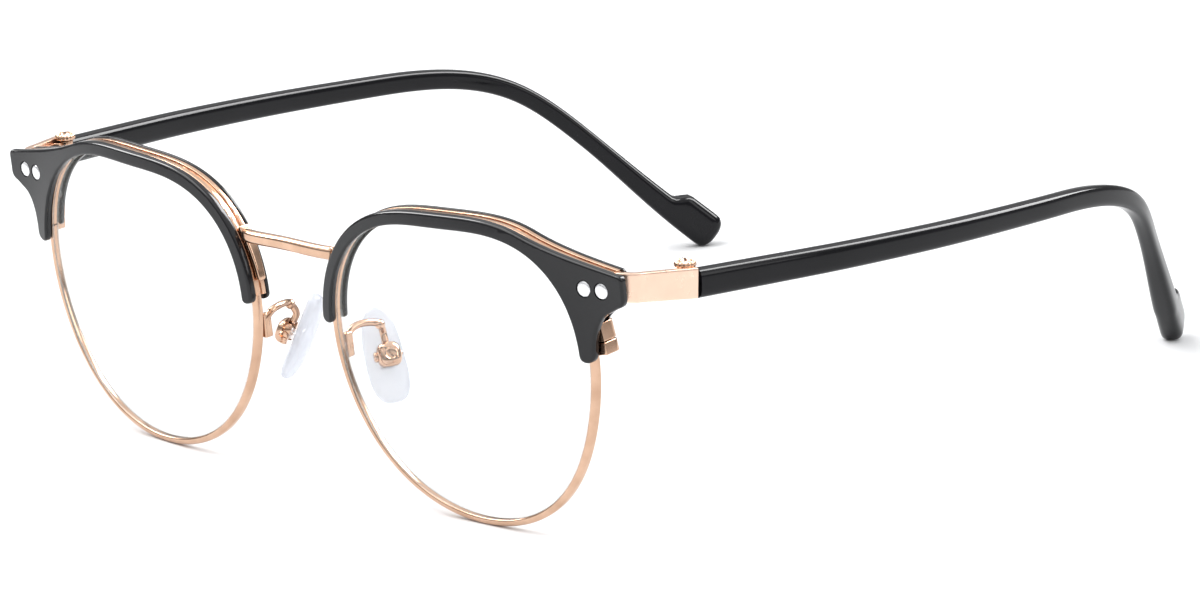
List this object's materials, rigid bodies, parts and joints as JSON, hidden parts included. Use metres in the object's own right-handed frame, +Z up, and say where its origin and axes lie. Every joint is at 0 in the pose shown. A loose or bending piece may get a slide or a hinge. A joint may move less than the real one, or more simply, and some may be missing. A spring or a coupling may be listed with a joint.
{
  "type": "half rim eyeglasses",
  "caption": "Browline eyeglasses: round-oval lenses in thin metal eyewires, black acetate brows riveted over the top, metal bridge, silicone nose pads and folding temples.",
  "frame": {"origin": "middle of the footprint of the open glasses, on the surface that the rims and temple tips rest on", "axes": "+X to the right-hand side as seen from the front, -Y the way the front faces, +Z up"},
  "size_m": [0.1564, 0.1494, 0.0492],
  "materials": {
    "rose_gold": "polished rose-gold plating",
    "satin_gold": "satin rose-gold plating",
    "black_acetate": "polished black acetate",
    "polished_steel": "polished steel",
    "lens_clear": "clear, uncoated",
    "pad_silicone": "clear moulded silicone"
  },
  "bodies": {
    "front": {"bridge": "rose_gold", "right_eyewire": "rose_gold", "right_lens": "lens_clear", "right_brow_front": "black_acetate", "right_brow_back": "black_acetate", "right_brow_bar": "rose_gold", "right_rivet_inner": "polished_steel", "right_rivet_outer": "polished_steel", "right_lock_block_upper": "rose_gold", "right_lock_block_lower": "rose_gold", "right_lock_screw": "rose_gold", "right_hinge_front": "rose_gold", "right_hinge_screw": "rose_gold", "right_endpiece": "satin_gold", "right_pad_arm": "rose_gold", "right_pad_box": "rose_gold", "right_pad_screw": "rose_gold", "left_eyewire": "rose_gold", "left_lens": "lens_clear", "left_brow_front": "black_acetate", "left_brow_back": "black_acetate", "left_brow_bar": "rose_gold", "left_rivet_inner": "polished_steel", "left_rivet_outer": "polished_steel", "left_lock_block_upper": "rose_gold", "left_lock_block_lower": "rose_gold", "left_lock_screw": "rose_gold", "left_hinge_front": "rose_gold", "left_hinge_screw": "rose_gold", "left_endpiece": "satin_gold", "left_pad_arm": "rose_gold", "left_pad_box": "rose_gold", "left_pad_screw": "rose_gold"},
    "right_temple_arm": {"right_temple": "black_acetate", "right_temple_core": "polished_steel", "right_hinge_rear": "rose_gold"},
    "right_nose_pad_unit": {"right_nose_pad": "pad_silicone", "right_pad_insert": "polished_steel"},
    "left_temple_arm": {"left_temple": "black_acetate", "left_temple_core": "polished_steel", "left_hinge_rear": "rose_gold"},
    "left_nose_pad_unit": {"left_nose_pad": "pad_silicone", "left_pad_insert": "polished_steel"}
  },
  "joints": [
    {"name": "right_temple_fold", "type": "hinge", "parent": "front", "child": "right_temple_arm", "pos_m": [0.07062, -0.05793, 0.0407], "axis": [0, 0, 1], "range_deg": [0, 81]},
    {"name": "left_temple_fold", "type": "hinge", "parent": "front", "child": "left_temple_arm", "pos_m": [-0.07062, -0.05793, 0.0407], "axis": [0, 0, -1], "range_deg": [0, 86]},
    {"name": "right_pad_rock", "type": "hinge", "parent": "front", "child": "right_nose_pad_unit", "pos_m": [0.0115, -0.06361, 0.02104], "axis": [0.4368, 0.8973, 0.0643], "range_deg": [-8, 8]},
    {"name": "left_pad_rock", "type": "hinge", "parent": "front", "child": "left_nose_pad_unit", "pos_m": [-0.0115, -0.06361, 0.02104], "axis": [0.4368, -0.8973, -0.0643], "range_deg": [-8, 8]}
  ]
}
